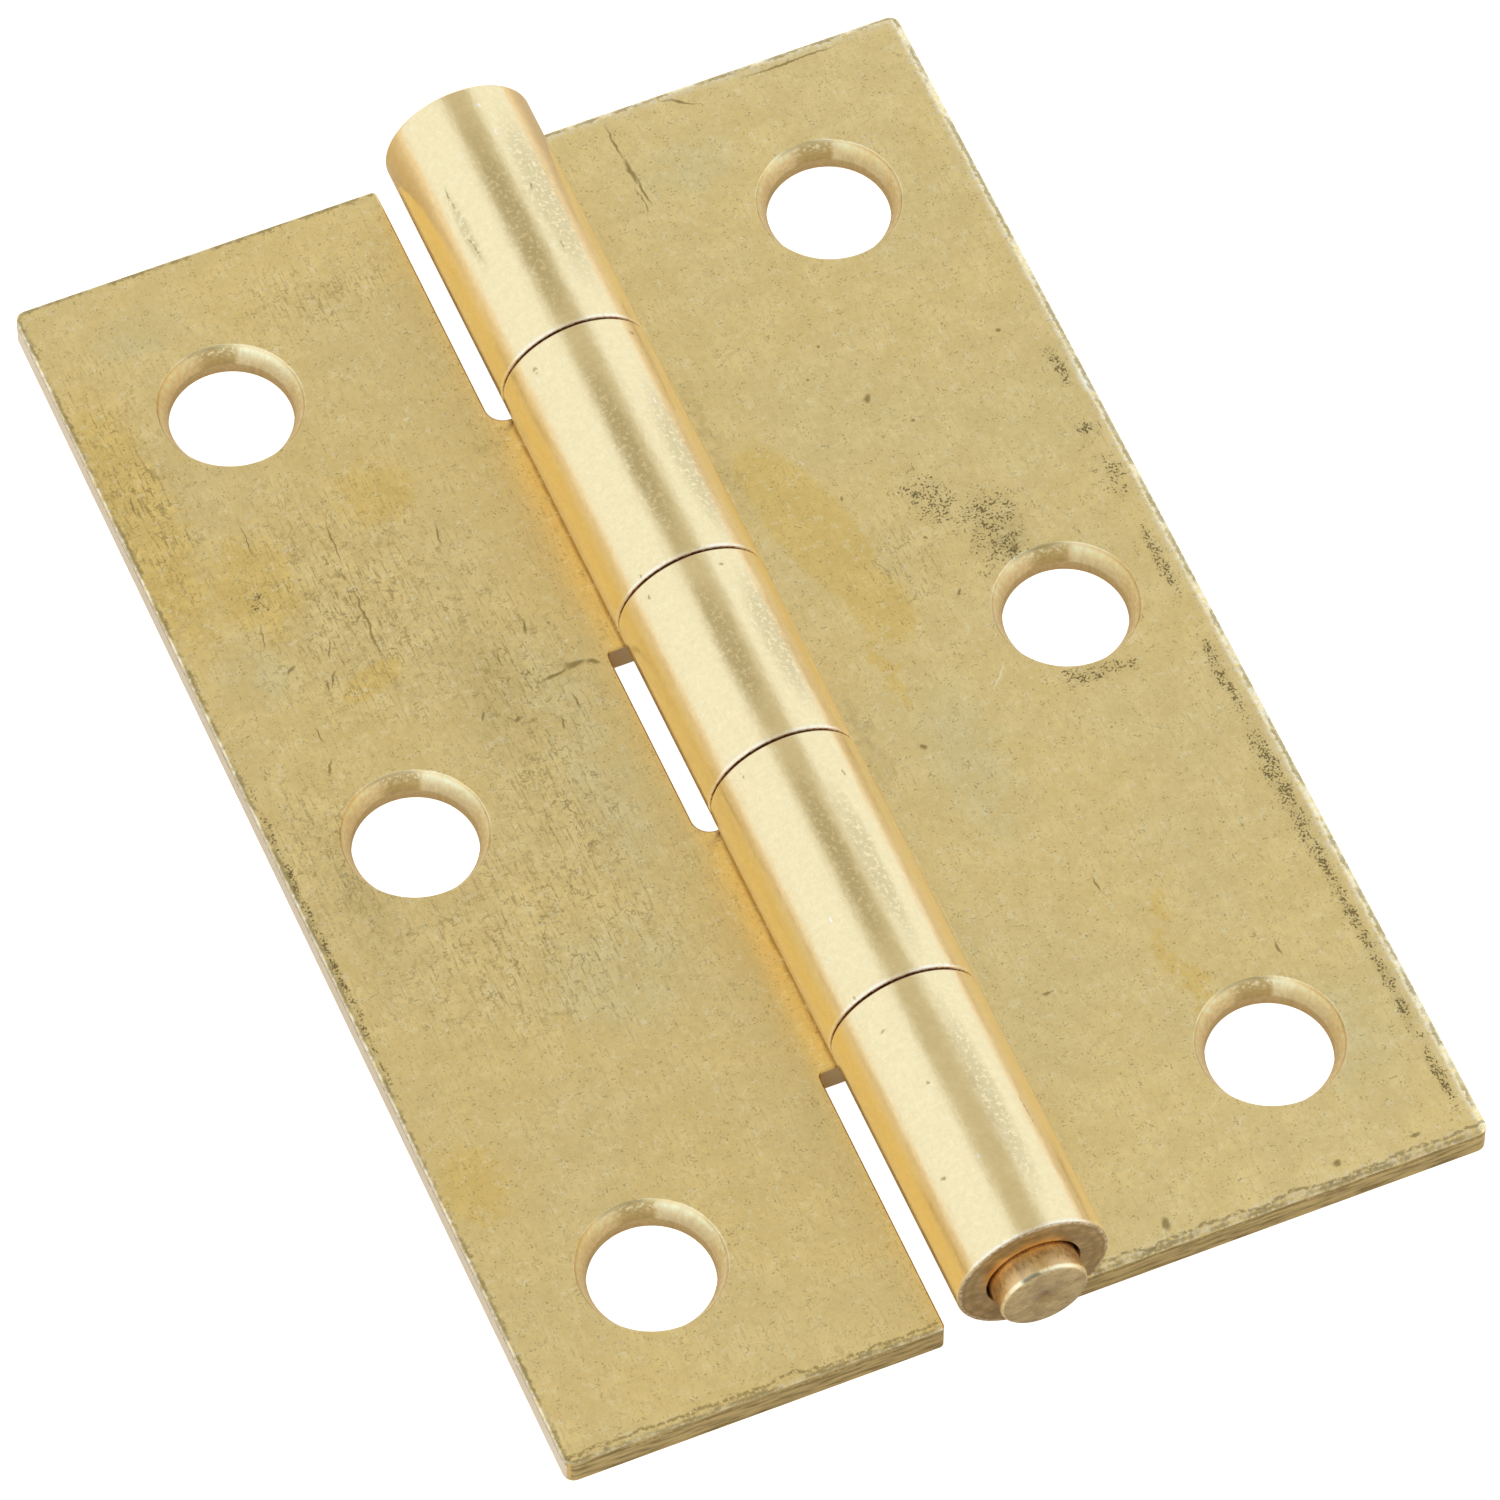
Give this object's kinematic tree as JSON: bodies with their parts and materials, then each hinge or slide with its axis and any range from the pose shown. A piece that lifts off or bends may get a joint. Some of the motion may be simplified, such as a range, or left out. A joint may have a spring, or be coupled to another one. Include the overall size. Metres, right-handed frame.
{
  "type": "narrow butt hinge",
  "caption": "Narrow butt hinge of rolled sheet lying open and flat, with knuckles curled round a plain pin and staggered countersunk screw holes in both leaves.",
  "frame": {"origin": "on the plane of the leaves' backs, straight under the middle of the knuckled barrel", "axes": "+Y along the pin away from its standing-out end, +Z away from the backs towards the barrel, +X across the three-knuckle leaf"},
  "size_m": [0.0508, 0.0778, 0.0083],
  "materials": {
    "leaf_metal": "satin, worn",
    "pin_metal": "satin, turned end"
  },
  "bodies": {
    "fixed_leaf": {"three_knuckle_leaf": "leaf_metal", "hinge_pin": "pin_metal"},
    "swing_leaf": {"two_knuckle_leaf": "leaf_metal"}
  },
  "joints": [
    {"name": "leaf_swing", "type": "hinge", "parent": "fixed_leaf", "child": "swing_leaf", "pos_m": [0, 0, 0.00415], "axis": [0, 1, 0], "range_deg": [-90, 190]}
  ]
}
